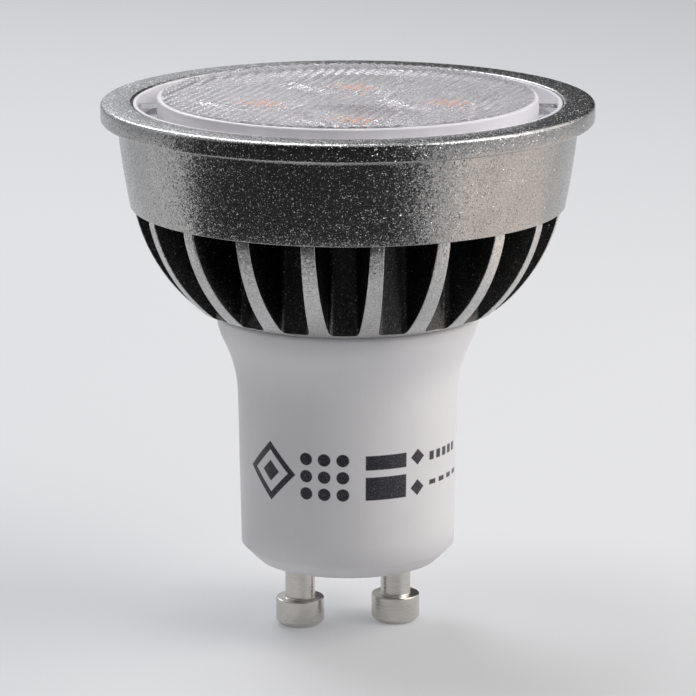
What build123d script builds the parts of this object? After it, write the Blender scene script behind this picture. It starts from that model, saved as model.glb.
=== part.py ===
from build123d import *
import os
from math import cos, radians, sin, sqrt

# Twist-lock LED spotlight bulb with a 50 mm rim, in millimetres.
# The origin is the centre of the cap's seating face. +Z points at the lens, and the two contact
# pins stand on the X axis, below z = 0.

# Fits, used wherever one piece meets another
slip = 0.1                    # side clearance of a piece that drops into a recess
hole_clearance = 0.15         # radial clearance of a screw or lead in a plain hole
thread_clearance = 0.04       # between a screw's shank and the hole that it cuts its thread in
lay = 0.025                   # gap between a round component or lead and the board it lies on
same_place = 0.01             # two points closer than this are one

# Rim and band of the casting
rim_radius = 25.0
rim_thickness = 1.95
rim_width = 3.2               # from the mouth to the rim's outer edge
rim_edge = 0.35               # rounding of the rim's two outer edges
rim_overhang = 1.7            # how far the rim stands out over the band
mouth_edge = 0.25
band_height = 8.65            # from the back of the rim to the band's lower edge
band_taper = 1.2              # loss of radius down the band
band_bulge = 0.1              # how far the band's middle stands out from a straight cone
band_root = 0.5               # fillet between the band and the back of the rim

# Fins and core
fin_count = 20
fin_step = 0.45               # how far the fins' tops stand in from the band's lower edge
fin_tip = 1.4                 # thickness of a fin at its outer face
fin_root = 2.0                # thickness of a fin at the core
fin_straight = 0.5            # upright stretch of the fins' outer face under the band
fin_height = 10.3             # from the band's lower edge to where the fins run into the core
fin_bulge = 0.95              # how far the fins' curved outer face stands out from its chord
core_wall = 2.6
core_swell = 0.25             # the fins' outer curve ends this far outside the core
pocket_corner = 0.6           # fillet in the corners of the pockets between the fins
lip_height = 0.8              # silver lip under the fins, down to the neck
lip_wall = 0.7

# Bowl and floor of the casting
ledge_depth = 3.0             # the lens sits on this ledge, below the front face
ledge_width = 2.0
bowl_draft = 1.4              # loss of radius from the ledge down to the bowl's floor
floor_over_fins = 2.0         # metal between the bowl's floor and the top of the pockets
floor_thickness = 3.0         # in the middle, over the driver chamber

# Lens
lens_proud = 0.7              # height of the micro-lens face over the rim's front face
lens_thickness = 3.1
lens_edge = 0.2
moat_depth = 1.9              # floor of the groove round the disc, below the front face
moat_width = 1.6
ring_width = 0.9              # from the mouth to the foot of the outer ring's inner slope
ring_top_width = 0.35
ring_below_face = 0.1
foot_step = 0.6               # the foot that bears on the ledge starts this far inside the disc's edge
lug_width = 2.6
lug_drop = 0.6                # top of a lug below the front face
lug_height = 1.0
lug_root = 0.4                # how far a lug reaches into the disc and into the ring
lug_angles = (0, 180)

# Light engine
light_turn = -7.5             # the lens and the LEDs are set at this angle to the pins, in degrees
led_count = 4
led_circle = 9.5              # distance of each LED from the axis
board_gap = 0.4               # between the LED board and the bowl
board_thickness = 1.6
pad_margin = 0.4              # the pad ends this far inside the board
pad_thickness = 0.2
led_size = 3.2
led_thickness = 0.7
emitter_radius = 1.3
cell_top_radius = 6.5
cell_foot_radius = 2.6
cell_bulge = 0.55             # how far a collimator's side stands out from a straight cone
cell_over_led = 0.2           # gap between a collimator's foot and the LED body under it
cell_pocket_radius = 1.9
cell_pocket_depth = 2.1
cell_pocket_crown = 0.6       # rise of the pocket's domed roof

# Screws
board_screw_circle = 12.5
board_screw_angles = (45, 225)
board_screw_radius = 1.25
board_screw_length = 3.6
board_screw_head = 2.1
board_screw_head_height = 1.4
neck_screw_angles = (0, 180)
neck_screw_radius = 1.0
neck_screw_length = 8.0
neck_screw_head = 1.9
neck_screw_head_height = 1.25
screw_crown = 0.45            # height of the sloped edge of a screw's head
screw_slot_width = 0.5
screw_slot_depth = 0.5

# Neck moulding
neck_step = 0.05              # the neck's top edge stands out this far past the casting's lip
neck_shoulder = 6.4           # radius of the convex arc under the casting
neck_turn = 27.0              # degrees that the shoulder turns inwards before the flare turns back
neck_waist_radius = 11.3
neck_foot_radius = 11.0
neck_bevel = 1.6              # bevel round the cap face, which lets it into a twist-lock holder
neck_wall = 1.5
spigot_wall = 1.3             # wall of the sleeve that reaches up inside the core
cap_thickness = 2.6
boss_radius = 2.1
boss_root = 0.4               # how far the screw bosses run into the sleeve's wall
boss_length = 9.0
rail_length = 18.0
rail_width = 1.0
rail_reach = 1.5              # how far the rails stand in from the wall
rail_root = 0.75              # how far they run into it
board_stop_height = 4.0       # top of the stops that carry the driver board, above the cap's floor

# Contact pins
pin_spacing = 10.0
pin_head_radius = 2.5
pin_head_length = 2.9
pin_head_edge = 0.5
pin_neck_radius = 1.55
pin_length = 7.4
pin_collar_radius = 2.2
pin_collar_height = 0.8
pin_bore_depth = 2.0

# Leads inside the lamp
lead_radius = 0.6
lead_offset = 2.0             # distance of each output lead from the axis
lead_angle = 135              # the output leads lie on this line across the axis
lead_loop = 1.9               # height of the output leads' loop over the LED board
lead_reach = 5.0              # where an output lead ends on the LED board, from the axis
lead_bend = 1.2
lead_overlap = 2.0            # length of a lead that is soldered along the driver board
lead_drop = 0.4               # the input leads come beside the board this far below its foot

# Driver board and the two large components on its front, one above the other
cover_thickness = 1.0
driver_thickness = 1.6
driver_top_gap = 1.0          # between the driver board and the cover
driver_step_height = 20.6     # where the board narrows to pass between the bosses, above the cap's floor
bulk_rise = 2.4               # the capacitor stands this far above the board's foot
bulk_radius = 4.0
bulk_length = 11.5
transformer_gap = 1.7         # between the capacitor and the transformer
transformer_margin = 2.2      # board left above the transformer
core_width = 10.0
core_height = 9.6
core_depth = 4.4
core_limb = 1.3
centre_limb = 2.6
bobbin_wall = 0.4
bobbin_depth = 8.2
winding_depth = 7.2
winding_corner = 0.8
winding_gap = 0.3             # between the winding and the core's outer limbs

# Smaller components on the driver board's back: rise is counted from the board's foot, drop from its top
component_lead = 0.3          # radius of a component's wire
can_wire_drop = 1.2           # length of a can's wires down to their bend
can_edge = 0.35
can_groove = 0.45
can_groove_rise = 2.0
output_can_radius = 3.15
output_can_length = 8.0
output_can_gap = 1.3          # between this capacitor and the film capacitor beside it
output_can_drop = 3.0
film_width = 7.0
film_depth = 4.6
film_height = 6.4
film_corner = 0.8
film_gap = 0.4                # between this capacitor and the boss beside it
film_drop = 3.0
choke_radius = 2.8
choke_length = 4.8
choke_flange = 0.9
choke_waist = 0.4             # depth of the wound waist
choke_x = -4.2
choke_rise = 0.8
resistor_radius = 1.5
resistor_length = 8.0
resistor_swell = 0.2
resistor_x = 5.9
resistor_rise = 3.2
rectifier_width = 4.4
rectifier_depth = 2.2
rectifier_height = 4.0
rectifier_x = -4.2
rectifier_rise = 7.4
chip_width = 3.8
chip_depth = 1.5
chip_height = 4.8
chip_x = 1.4
chip_rise = 7.0
diode_width = 3.6
diode_depth = 2.0
diode_height = 2.6
diode_x = 5.6
diode_rise = 13.6
leg_reach = 0.6               # how far the legs stand out on each side of a flat component
leg_thickness = 0.3
leg_inset = 0.5
body_lift = 0.1               # gap between a flat component's body and the board
body_bevel = 0.25

# The bosses stand clear of the two components between them, and the sleeve and the core stand round them
boss_inside = (2 * output_can_radius + output_can_gap + film_width + film_gap) / 2
output_can_x = output_can_radius - boss_inside
film_x = boss_inside - film_gap - film_width / 2
neck_screw_circle = boss_inside + boss_radius
spigot_bore = neck_screw_circle + boss_radius - boss_root
spigot_radius = spigot_bore + spigot_wall
chamber_radius = spigot_radius + slip

# Radii that follow from the sizes above
mouth_radius = rim_radius - rim_width
band_top_radius = rim_radius - rim_overhang
band_foot_radius = band_top_radius - band_taper
fin_top_radius = band_foot_radius - fin_step
core_radius = chamber_radius + core_wall
lip_radius = chamber_radius + lip_wall
ledge_radius = mouth_radius - ledge_width
bowl_radius = ledge_radius - bowl_draft
board_radius = bowl_radius - board_gap
ring_foot_radius = mouth_radius - ring_width
lens_radius = ring_foot_radius - moat_width
neck_top_radius = lip_radius + neck_step
neck_bore_radius = neck_foot_radius - neck_wall
lead_hole_radius = lead_offset + lead_radius + hole_clearance
driver_half_width = neck_bore_radius - slip
driver_face = driver_thickness / 2

# Heights above the cap's seating face, stacked up from the cap to the lens
driver_foot = cap_thickness + board_stop_height
bulk_base = driver_foot + bulk_rise
transformer_base = bulk_base + bulk_length + transformer_gap
driver_top = transformer_base + core_height + transformer_margin
cover_base = driver_top + driver_top_gap
floor_underside = cover_base + cover_thickness
bowl_floor = floor_underside + floor_thickness
band_foot = bowl_floor - floor_over_fins
rim_back = band_foot + band_height
front_height = rim_back + rim_thickness
fin_foot = band_foot - fin_height
lip_foot = fin_foot - lip_height
ledge_height = front_height - ledge_depth
board_base = bowl_floor + pad_thickness
board_top = board_base + board_thickness
led_top = board_top + led_thickness
lens_top = front_height + lens_proud
lens_underside = lens_top - lens_thickness
moat_floor = front_height - moat_depth
cell_foot = led_top + cell_over_led
neck_screw_seat = bowl_floor - neck_screw_head_height - slip


def bulged(start, end, bulge):
    """Arc from start to end whose middle stands out by bulge, to the right of the way it runs."""
    across = end[0] - start[0]
    along = end[1] - start[1]
    length = sqrt(across ** 2 + along ** 2)
    middle_x = (start[0] + end[0]) / 2 + bulge * along / length
    middle_y = (start[1] + end[1]) / 2 - bulge * across / length
    return ThreePointArc(start, (middle_x, middle_y), end)


def turned(lines):
    """Solid of revolution about Z of a closed outline drawn as (radius, height)."""
    return revolve(Plane.XZ * make_face(lines.edges()), Axis.Z)


def disc(radius, base, thickness):
    return Pos(0, 0, base) * Cylinder(radius, thickness, align=(Align.CENTER, Align.CENTER, Align.MIN))


def block(width, depth, height, x, y, base):
    box = Box(width, depth, height, align=(Align.CENTER, Align.CENTER, Align.MIN))
    return Pos(x, y, base) * box


def on_circle(radius, angles):
    """Points at the given angles on a circle round the axis."""
    return [(radius * cos(radians(angle)), radius * sin(radians(angle))) for angle in angles]


def at_points(points, solid):
    return [Pos(x, y, 0) * solid for x, y in points]


def near(vertices, point):
    """The vertex of an outline that lies at the given (radius, height)."""
    return [vertex for vertex in vertices if (vertex.center() - Vector(*point)).length < same_place]


def light_places(radius, angles):
    """Points on a circle in the light engine, which is turned against the pins."""
    return on_circle(radius, [angle + light_turn for angle in angles])


def led_places():
    return light_places(led_circle, [index * 360 / led_count for index in range(led_count)])


def casting_outline():
    corners = {
        "rim_front": (rim_radius, front_height),
        "rim_back": (rim_radius, rim_back),
        "mouth": (mouth_radius, front_height),
        "root": (band_top_radius, rim_back),
    }
    fin_start = (core_radius + core_swell, fin_foot)
    fin_end = (fin_top_radius, band_foot - fin_straight)
    lower = Polyline((chamber_radius, lip_foot), (lip_radius, lip_foot), fin_start)
    curve = bulged(fin_start, fin_end, fin_bulge)
    step = Polyline(fin_end, (fin_top_radius, band_foot), (band_foot_radius, band_foot))
    band = bulged((band_foot_radius, band_foot), corners["root"], band_bulge)
    upper = Polyline(
        corners["root"],
        corners["rim_back"],
        corners["rim_front"],
        corners["mouth"],
        (mouth_radius, ledge_height),
        (ledge_radius, ledge_height),
        (bowl_radius, bowl_floor),
        (0, bowl_floor),
        (0, floor_underside),
        (chamber_radius, floor_underside),
        (chamber_radius, lip_foot),
    )
    face = make_face((lower + curve + step + band + upper).edges())
    face = fillet(near(face.vertices(), corners["rim_front"]), rim_edge)
    face = fillet(near(face.vertices(), corners["rim_back"]), rim_edge)
    face = fillet(near(face.vertices(), corners["mouth"]), mouth_edge)
    return fillet(near(face.vertices(), corners["root"]), band_root)


def pocket():
    """The space between two fins, centred on +X, from below the fins up to the band's foot."""
    half_pitch = radians(180 / fin_count)
    reach = rim_radius

    def fin_side(radius):
        share = (radius - core_radius) / (fin_top_radius - core_radius)
        half_fin = (fin_root + share * (fin_tip - fin_root)) / 2
        x = radius * cos(half_pitch) + half_fin * sin(half_pitch)
        y = radius * sin(half_pitch) - half_fin * cos(half_pitch)
        return x, y

    inner = fin_side(core_radius)
    outer = fin_side(reach)
    corners = [inner, outer, (outer[0], -outer[1]), (inner[0], -inner[1])]
    face = make_face(Polyline(*corners, close=True).edges())
    root = near(face.vertices(), inner) + near(face.vertices(), corners[3])
    face = fillet(root, pocket_corner)
    return Pos(0, 0, lip_foot) * extrude(face, band_foot - lip_foot)


def heat_sink():
    body = revolve(Plane.XZ * casting_outline(), Axis.Z)
    first = Rot(0, 0, 180 / fin_count) * pocket()
    body -= [Rot(0, 0, index * 360 / fin_count) * first for index in range(fin_count)]
    body -= disc(lead_hole_radius, floor_underside, floor_thickness)
    neck_hole = disc(neck_screw_radius + hole_clearance, floor_underside, floor_thickness)
    neck_hole += disc(neck_screw_head + hole_clearance, neck_screw_seat, bowl_floor - neck_screw_seat)
    body -= at_points(on_circle(neck_screw_circle, neck_screw_angles), neck_hole)
    thread_depth = board_screw_length - board_thickness - pad_thickness + slip
    thread = disc(board_screw_radius + thread_clearance, bowl_floor - thread_depth, thread_depth)
    return body - at_points(light_places(board_screw_circle, board_screw_angles), thread)


def collimator():
    """One light-gathering cell under the disc, with a pocket for its LED."""
    foot = (cell_foot_radius, cell_foot)
    top = (cell_top_radius, lens_underside)
    overlap = lens_thickness / 2
    side = bulged(foot, top, cell_bulge)
    rest = Polyline(
        top,
        (cell_top_radius, lens_underside + overlap),
        (0, lens_underside + overlap),
        (0, cell_foot),
        foot,
    )
    cell = turned(side + rest)
    roof_top = cell_foot + cell_pocket_depth
    wall_top = roof_top - cell_pocket_crown
    roof = TangentArc((0, roof_top), (cell_pocket_radius, wall_top), tangent=(1, 0))
    walls = Polyline(
        (cell_pocket_radius, wall_top),
        (cell_pocket_radius, cell_foot),
        (0, cell_foot),
        (0, roof_top),
    )
    return cell, turned(roof + walls)


def front_lens():
    ring_radius = mouth_radius - slip
    foot_radius = lens_radius - foot_step
    ring_top = front_height - ring_below_face
    face = make_face(
        Polyline(
            (foot_radius, ledge_height),
            (ring_radius, ledge_height),
            (ring_radius, ring_top),
            (ring_radius - ring_top_width, ring_top),
            (ring_foot_radius, moat_floor),
            (lens_radius, moat_floor),
            (lens_radius, lens_top),
            (0, lens_top),
            (0, lens_underside),
            (foot_radius, lens_underside),
            close=True,
        ).edges()
    )
    face = fillet(near(face.vertices(), (lens_radius, lens_top)), lens_edge)
    lens = revolve(Plane.XZ * face, Axis.Z)
    lug_length = moat_width + 2 * lug_root
    lug_middle = (ring_foot_radius + lens_radius) / 2
    lug_base = front_height - lug_drop - lug_height
    lug = block(lug_length, lug_width, lug_height, lug_middle, 0, lug_base)
    lens += [Rot(0, 0, angle + light_turn) * lug for angle in lug_angles]
    cell, hollow = collimator()
    lens += at_points(led_places(), cell)
    return lens - at_points(led_places(), hollow)


def light_board(radius, base, thickness):
    """Round sheet under the LEDs, with the lead hole and the two screw holes."""
    sheet = disc(radius, base, thickness) - disc(lead_hole_radius, base, thickness)
    hole = disc(board_screw_radius + hole_clearance, base, thickness)
    return sheet - at_points(light_places(board_screw_circle, board_screw_angles), hole)


def led_body(x, y):
    return block(led_size, led_size, led_thickness, x, y, board_top)


def led_emitter(x, y):
    outline = CenterArc((0, led_top), emitter_radius, 0, 90)
    outline += Polyline((0, led_top + emitter_radius), (0, led_top), (emitter_radius, led_top))
    return Pos(x, y, 0) * turned(outline)


def screw(under_head, radius, length, head_radius, head_height):
    """Pan-head screw standing head up, with a driving slot."""
    outline = Polyline(
        (0, under_head - length),
        (radius, under_head - length),
        (radius, under_head),
        (head_radius, under_head),
        (head_radius, under_head + head_height - screw_crown),
        (head_radius - screw_crown, under_head + head_height),
        (0, under_head + head_height),
        close=True,
    )
    slot_base = under_head + head_height - screw_slot_depth
    slot = block(2 * head_radius, screw_slot_width, screw_slot_depth, 0, 0, slot_base)
    return turned(outline) - slot


def board_screws():
    head = (board_screw_head, board_screw_head_height)
    one = screw(board_top, board_screw_radius, board_screw_length, *head)
    return Compound(children=at_points(light_places(board_screw_circle, board_screw_angles), one))


def neck_screws():
    head = (neck_screw_head, neck_screw_head_height)
    one = screw(neck_screw_seat, neck_screw_radius, neck_screw_length, *head)
    return Compound(children=at_points(on_circle(neck_screw_circle, neck_screw_angles), one))


def neck_outline():
    """Outside of the neck: a convex shoulder, a concave flare, a slight taper and the cap's bevel."""
    turn = radians(neck_turn)
    shoulder_step = neck_shoulder * (1 - cos(turn))
    flare = (neck_top_radius - shoulder_step - neck_waist_radius) / (1 - cos(turn))
    top = (neck_top_radius, lip_foot)
    bend = (neck_top_radius - shoulder_step, lip_foot - neck_shoulder * sin(turn))
    waist = (neck_waist_radius, bend[1] - flare * sin(turn))
    shoulder = TangentArc(top, bend, tangent=(0, -1))
    hollow = TangentArc(bend, waist, tangent=(-sin(turn), -cos(turn)))
    foot = Polyline(
        waist,
        (neck_foot_radius, neck_bevel),
        (neck_foot_radius - neck_bevel, 0),
        (0, 0),
        (0, cap_thickness),
        (neck_bore_radius, cap_thickness),
        (neck_bore_radius, waist[1]),
        (spigot_bore, bend[1]),
        (spigot_bore, floor_underside),
        (spigot_radius, floor_underside),
        (spigot_radius, lip_foot),
        top,
    )
    return shoulder + hollow + foot


def neck_housing():
    body = turned(neck_outline())
    bore = disc(spigot_bore, 0, floor_underside)
    boss_base = cover_base - boss_length
    thread_base = neck_screw_seat - neck_screw_length - slip
    boss = disc(boss_radius, boss_base, boss_length)
    boss += block(boss_radius * 2, boss_radius * 2, boss_length, boss_radius, 0, boss_base)
    boss -= disc(neck_screw_radius + thread_clearance, thread_base, cover_base - thread_base)
    for angle in neck_screw_angles:
        turned_boss = Rot(0, 0, angle) * (Pos(neck_screw_circle, 0, 0) * boss)
        body += turned_boss & bore
    inner_bore = disc(neck_bore_radius + rail_root, 0, cap_thickness + rail_length)
    rail_middle = neck_bore_radius + (rail_root - rail_reach) / 2
    rail_depth = rail_reach + rail_root
    rail_y = driver_face + slip + rail_width / 2
    for side in (-1, 1):
        for way in (-1, 1):
            rail = block(rail_depth, rail_width, rail_length, side * rail_middle, way * rail_y, cap_thickness)
            body += rail & inner_bore
        stop_width = driver_thickness + 2 * slip
        stop = block(rail_depth, stop_width, board_stop_height, side * rail_middle, 0, cap_thickness)
        body += stop & inner_bore
    for x in (-pin_spacing / 2, pin_spacing / 2):
        body -= Pos(x, 0, 0) * disc(pin_neck_radius, 0, cap_thickness)
    return body


def contact_pin(x):
    """Turned pin: head, neck, shank through the cap and a riveted collar with the lead's bore."""
    head_base = -pin_length
    head_top = head_base + pin_head_length
    collar_top = cap_thickness + pin_collar_height
    outline = Polyline(
        (0, head_base),
        (pin_head_radius - pin_head_edge, head_base),
        (pin_head_radius, head_base + pin_head_edge),
        (pin_head_radius, head_top),
        (pin_neck_radius, head_top),
        (pin_neck_radius, cap_thickness),
        (pin_collar_radius, cap_thickness),
        (pin_collar_radius, collar_top),
        (lead_radius, collar_top),
        (lead_radius, collar_top - pin_bore_depth),
        (0, collar_top - pin_bore_depth),
        close=True,
    )
    return Pos(x, 0, 0) * turned(outline)


def tube(points, bend):
    """Insulated lead of round section along straight runs joined by tangent arcs."""
    path = FilletPolyline(*points, radius=bend)
    section = Plane(origin=path @ 0, z_dir=path % 0) * Circle(lead_radius)
    return sweep(section, path=path)


def input_lead(side):
    x = side * pin_spacing / 2
    start = cap_thickness + pin_collar_height - pin_bore_depth
    beside = -(driver_face + lay + lead_radius)
    points = [
        (x, 0, start),
        (x, 0, (start + driver_foot) / 2),
        (x, beside, driver_foot - lead_drop),
        (x, beside, driver_foot + lead_overlap),
    ]
    return tube(points, lead_bend)


def output_lead(side):
    """Lead from the driver board's face, up through the floor and over to its solder pad."""
    angle = radians(lead_angle)
    across = side * cos(angle)
    along = side * sin(angle)
    loop_height = board_top + lead_loop
    points = [
        (lead_offset * across, lead_offset * along, driver_top - lead_overlap),
        (lead_offset * across, lead_offset * along, loop_height),
        (lead_reach * across, lead_reach * along, loop_height),
        (lead_reach * across, lead_reach * along, board_top),
    ]
    return tube(points, lead_bend)


def driver_cover():
    cover = disc(spigot_bore - slip, cover_base, cover_thickness)
    cover -= disc(lead_hole_radius, cover_base, cover_thickness)
    hole = disc(neck_screw_radius + hole_clearance, cover_base, cover_thickness)
    return cover - at_points(on_circle(neck_screw_circle, neck_screw_angles), hole)


def driver_board():
    step = cap_thickness + driver_step_height
    narrow = neck_screw_circle - boss_radius - 2 * slip
    lower = block(2 * driver_half_width, driver_thickness, step - driver_foot, 0, 0, driver_foot)
    upper = block(2 * narrow, driver_thickness, driver_top - step, 0, 0, step)
    return lower + upper


def wire_to_board(x, y, height):
    """Component wire that runs straight to the board's face from the point (x, y)."""
    side = 1 if y > 0 else -1
    run = abs(y) - driver_face
    return Pos(x, side * (driver_face + run / 2), height) * Rot(90, 0, 0) * Cylinder(component_lead, run)


def can_capacitor(radius, length, x, side, base):
    """Electrolytic can lying along the board, with its crimped groove and two bent wires."""
    crimp = base + can_groove_rise
    outline = Polyline(
        (0, base),
        (radius - can_edge, base),
        (radius, base + can_edge),
        (radius, crimp - can_groove),
        (radius - can_groove, crimp),
        (radius, crimp + can_groove),
        (radius, base + length - can_edge),
        (radius - can_edge, base + length),
        (0, base + length),
        close=True,
    )
    y = side * (driver_face + lay + radius)
    can = Pos(x, y, 0) * turned(outline)
    wire_base = base - can_wire_drop
    wire = disc(component_lead, wire_base, can_wire_drop)
    for wire_x in (x - radius / 2, x + radius / 2):
        can += Pos(wire_x, y, 0) * wire
        can += wire_to_board(wire_x, y, wire_base)
    return can


def film_capacitor():
    base = driver_top - film_drop - film_height
    box = block(film_width, film_depth, film_height, film_x, driver_face + film_depth / 2, base)
    return fillet(box.edges().filter_by(Axis.Y), film_corner)


def fusible_resistor():
    """Axial resistor standing along the board, with end bulges and wires bent to the board."""
    base = driver_foot + resistor_rise
    top = base + resistor_length
    waist = resistor_radius - resistor_swell
    outline = Polyline(
        (0, base),
        (waist, base),
        (resistor_radius, base + resistor_swell),
        (resistor_radius, base + resistor_radius),
        (waist, base + resistor_radius + resistor_swell),
        (waist, top - resistor_radius - resistor_swell),
        (resistor_radius, top - resistor_radius),
        (resistor_radius, top - resistor_swell),
        (waist, top),
        (0, top),
        close=True,
    )
    y = driver_face + lay + resistor_radius
    body = Pos(resistor_x, y, 0) * turned(outline)
    body += wire_to_board(resistor_x, y, base - component_lead / 2)
    return body + wire_to_board(resistor_x, y, top + component_lead / 2)


def input_choke():
    """Drum choke standing on the board's back, with a wound waist between two flanges."""
    waist = choke_radius - choke_waist
    outline = Polyline(
        (0, 0),
        (choke_radius, 0),
        (choke_radius, choke_flange),
        (waist, choke_flange),
        (waist, choke_length - choke_flange),
        (choke_radius, choke_length - choke_flange),
        (choke_radius, choke_length),
        (0, choke_length),
        close=True,
    )
    place = Pos(choke_x, driver_face, driver_foot + choke_rise + choke_radius) * Rot(-90, 0, 0)
    return place * turned(outline)


def transformer_block(width, depth, inset):
    """Block round the transformer's middle, inset from the core's ends, standing off the board's front."""
    y = -(driver_face + bobbin_depth / 2)
    return block(width, depth, core_height - 2 * inset, 0, y, transformer_base + inset)


def transformer_core():
    window_width = (core_width - 2 * core_limb - centre_limb) / 2
    window = transformer_block(window_width, core_depth, core_limb)
    middle = (centre_limb + window_width) / 2
    outer = transformer_block(core_width, core_depth, 0)
    return outer - [Pos(side * middle, 0, 0) * window for side in (-1, 1)]


def transformer_bobbin():
    """Spool round the centre limb; its two flanges stand on the board."""
    inset = core_limb + slip
    limb_width = centre_limb + 2 * slip
    limb_depth = core_depth + 2 * slip
    flanges = transformer_block(core_width - 2 * inset, bobbin_depth, inset)
    flanges -= transformer_block(core_width, bobbin_depth, inset + bobbin_wall)
    spool = flanges + transformer_block(limb_width + 2 * bobbin_wall, limb_depth + 2 * bobbin_wall, inset)
    return spool - transformer_block(limb_width, limb_depth, inset)


def transformer_winding():
    inset = core_limb + slip + bobbin_wall
    coil = transformer_block(core_width - 2 * core_limb - 2 * winding_gap, winding_depth, inset)
    coil = fillet(coil.edges().filter_by(Axis.Z), winding_corner)
    inner_width = centre_limb + 2 * slip + 2 * bobbin_wall
    inner_depth = core_depth + 2 * slip + 2 * bobbin_wall
    return coil - transformer_block(inner_width, inner_depth, inset)


def flat_component(width, depth, height, x, rise):
    """Moulded body just off the driver board's back, on legs along its two sides."""
    base = driver_foot + rise
    body = block(width, depth - body_lift, height, x, driver_face + (depth + body_lift) / 2, base)
    body = chamfer(body.edges().group_by(Axis.Y)[-1], body_bevel)
    leg_width = width + 2 * leg_reach
    leg_height = height - 2 * leg_inset
    leg_y = driver_face + leg_thickness / 2
    return body + block(leg_width, leg_thickness, leg_height, x, leg_y, base + leg_inset)


def light_engine():
    pieces = {
        "heat_sink": heat_sink(),
        "front_lens": front_lens(),
        "thermal_pad": light_board(board_radius - pad_margin, bowl_floor, pad_thickness),
        "led_board": light_board(board_radius, board_base, board_thickness),
        "board_screws": board_screws(),
        "neck_screws": neck_screws(),
    }
    for number, (x, y) in enumerate(led_places(), start=1):
        pieces[f"led_body_{number}"] = led_body(x, y)
        pieces[f"led_emitter_{number}"] = led_emitter(x, y)
    return pieces


def base_unit():
    return {
        "neck_housing": neck_housing(),
        "driver_cover": driver_cover(),
        "contact_pin_1": contact_pin(-pin_spacing / 2),
        "contact_pin_2": contact_pin(pin_spacing / 2),
        "input_lead_1": input_lead(-1),
        "input_lead_2": input_lead(1),
        "output_lead_red": output_lead(1),
        "output_lead_black": output_lead(-1),
    }


def driver():
    output_base = driver_top - output_can_drop - output_can_length
    return {
        "driver_board": driver_board(),
        "bulk_capacitor": can_capacitor(bulk_radius, bulk_length, 0, -1, bulk_base),
        "output_capacitor": can_capacitor(output_can_radius, output_can_length, output_can_x, 1, output_base),
        "film_capacitor": film_capacitor(),
        "fusible_resistor": fusible_resistor(),
        "input_choke": input_choke(),
        "transformer_core": transformer_core(),
        "transformer_bobbin": transformer_bobbin(),
        "transformer_winding": transformer_winding(),
        "bridge_rectifier": flat_component(
            rectifier_width, rectifier_depth, rectifier_height, rectifier_x, rectifier_rise
        ),
        "driver_chip": flat_component(chip_width, chip_depth, chip_height, chip_x, chip_rise),
        "output_diode": flat_component(diode_width, diode_depth, diode_height, diode_x, diode_rise),
    }


def write_parts():
    os.makedirs("parts", exist_ok=True)
    pieces = {**light_engine(), **base_unit(), **driver()}
    for name, solid in pieces.items():
        solid.label = name
        export_step(solid, f"parts/{name}.step")


write_parts()
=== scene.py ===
# %% [markdown]
# # A twist-lock LED spotlight bulb
# The bulb stands on its two contact pins with the lens up. Its parts are a grey cast heat sink with
# twenty fins, a clear lens with a quilted face, four LEDs under it, a white plastic neck and the pins.
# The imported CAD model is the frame: it says how big everything is, and nothing in it is moved.

# %% Load the frame
from math import atan2, cos, pi, radians, sin, sqrt, tan

import bmesh
import bpy
from mathutils import Matrix, Vector


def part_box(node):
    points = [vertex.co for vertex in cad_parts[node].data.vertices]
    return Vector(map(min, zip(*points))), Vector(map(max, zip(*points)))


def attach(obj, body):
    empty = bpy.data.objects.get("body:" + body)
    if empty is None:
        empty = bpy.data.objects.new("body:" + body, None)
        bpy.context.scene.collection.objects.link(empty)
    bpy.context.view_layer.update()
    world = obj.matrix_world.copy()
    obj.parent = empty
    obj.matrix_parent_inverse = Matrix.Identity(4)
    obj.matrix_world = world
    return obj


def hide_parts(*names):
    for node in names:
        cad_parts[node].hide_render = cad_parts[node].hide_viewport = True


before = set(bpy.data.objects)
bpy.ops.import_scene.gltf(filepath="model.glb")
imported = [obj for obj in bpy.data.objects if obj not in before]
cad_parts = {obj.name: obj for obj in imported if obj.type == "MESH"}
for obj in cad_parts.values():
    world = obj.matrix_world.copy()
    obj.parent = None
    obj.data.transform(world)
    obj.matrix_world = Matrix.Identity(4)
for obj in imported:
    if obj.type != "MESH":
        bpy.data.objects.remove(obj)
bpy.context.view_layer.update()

mm = 0.001


def size_of(node):
    """(radius, lowest height, highest height) in mm of a round CAD node on the Z axis."""
    low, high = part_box(node)
    return (high[0] - low[0]) / 2 / mm, low[2] / mm, high[2] / mm


rim_radius, lip_foot, front_height = size_of("heat_sink")
ring_radius, cell_foot, lens_top = size_of("front_lens")
pin_head_radius, pin_tip, pin_top = size_of("contact_pin_1")
print("rim radius", rim_radius, "front face", front_height, "lens top", lens_top, "pin tips", pin_tip)

# %% [markdown]
# ## Two small helpers for node trees
# Materials and Geometry Nodes are both node trees. Typing out each node and link hides the idea behind
# them, so one small class wraps a socket and lets Python's own operators add the Math nodes, and one
# method adds any other node from its type, its settings and what goes into its sockets.

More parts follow.
